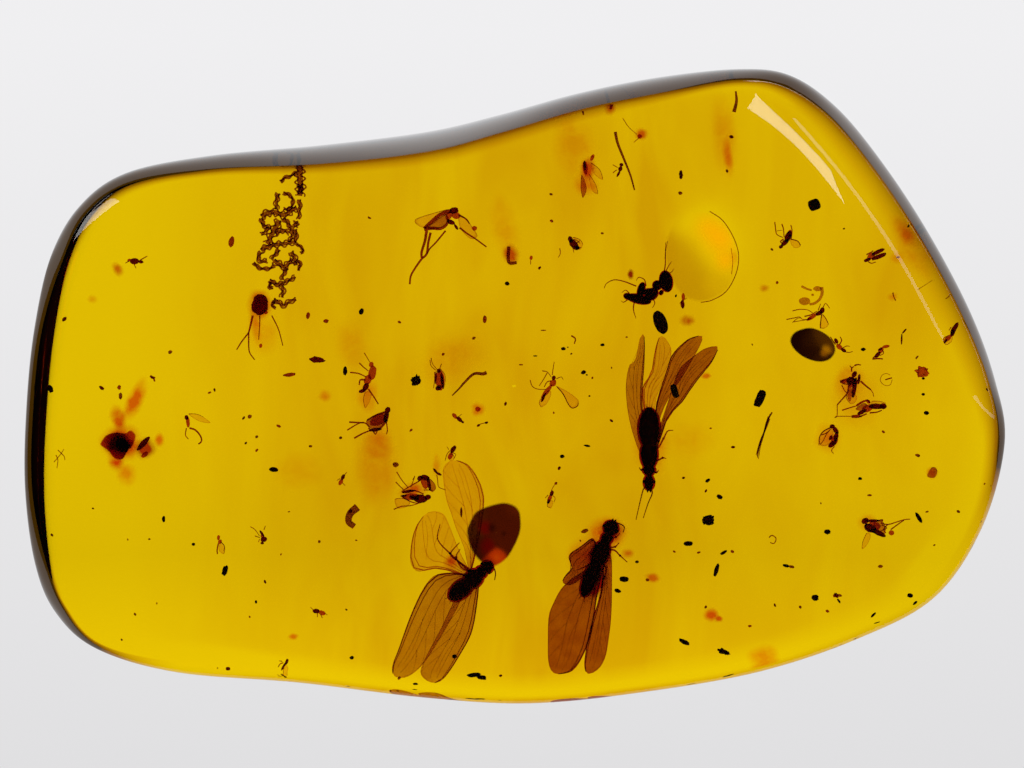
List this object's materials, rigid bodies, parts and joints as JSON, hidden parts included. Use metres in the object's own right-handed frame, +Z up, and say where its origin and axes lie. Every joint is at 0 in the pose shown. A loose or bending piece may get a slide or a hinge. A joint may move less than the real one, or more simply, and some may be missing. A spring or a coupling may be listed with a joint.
{
  "type": "insects in amber",
  "caption": "Flat polished piece of clear golden amber with winged insects, small flies and crumbs of debris sealed inside.",
  "frame": {"origin": "middle of the length and width, on the flat underside", "axes": "+X along the length towards the narrower end, +Y across towards the edge with the hump, +Z up through the polished front face"},
  "size_m": [0.0613, 0.0396, 0.0119],
  "materials": {
    "amber": "polished, clear golden yellow, see-through",
    "chitin": "dark brown insect skin",
    "gnat_skin": "red-brown insect skin",
    "debris": "near-black crumbs",
    "plant_fibre": "brown plant matter"
  },
  "bodies": {
    "root": {"amber_back": "amber", "amber_front": "amber", "termite_centre": "chitin", "termite_lower": "chitin", "termite_left": "chitin", "wasp": "chitin", "gnat_01": "gnat_skin", "gnat_02": "gnat_skin", "gnat_03": "gnat_skin", "gnat_04": "gnat_skin", "gnat_05": "gnat_skin", "gnat_06": "gnat_skin", "gnat_07": "gnat_skin", "gnat_08": "gnat_skin", "gnat_09": "gnat_skin", "gnat_10": "gnat_skin", "gnat_11": "gnat_skin", "gnat_12": "gnat_skin", "gnat_13": "gnat_skin", "gnat_14": "gnat_skin", "gnat_15": "gnat_skin", "gnat_16": "gnat_skin", "gnat_17": "gnat_skin", "gnat_18": "gnat_skin", "gnat_19": "gnat_skin", "gnat_20": "gnat_skin", "gnat_21": "gnat_skin", "gnat_22": "gnat_skin", "gnat_23": "gnat_skin", "gnat_24": "gnat_skin", "gnat_25": "gnat_skin", "gnat_26": "gnat_skin", "gnat_27": "gnat_skin", "gnat_28": "gnat_skin", "seed_oval": "debris", "pellet_on_wing": "debris", "pellet_waisted": "debris", "pellet_lower_left": "debris", "pellet_upper_right": "debris", "pellet_beside_wing": "debris", "pellet_right_of_head": "debris", "crumb_square": "debris", "crumb_long": "debris", "crumb_left": "debris", "crumb_star": "debris", "crumb_red_core": "debris", "crumb_rimmed": "debris", "crumb_bottom": "debris", "crumb_bottom_right": "debris", "crumb_lens_right": "debris", "crumb_brown_right": "debris", "plant_rod": "plant_fibre", "bark_sliver": "plant_fibre", "fibre_bundle": "plant_fibre", "curved_filament": "plant_fibre", "bean_husk": "plant_fibre", "bent_stalk": "plant_fibre", "frilled_strand": "plant_fibre"}
  },
  "joints": []
}
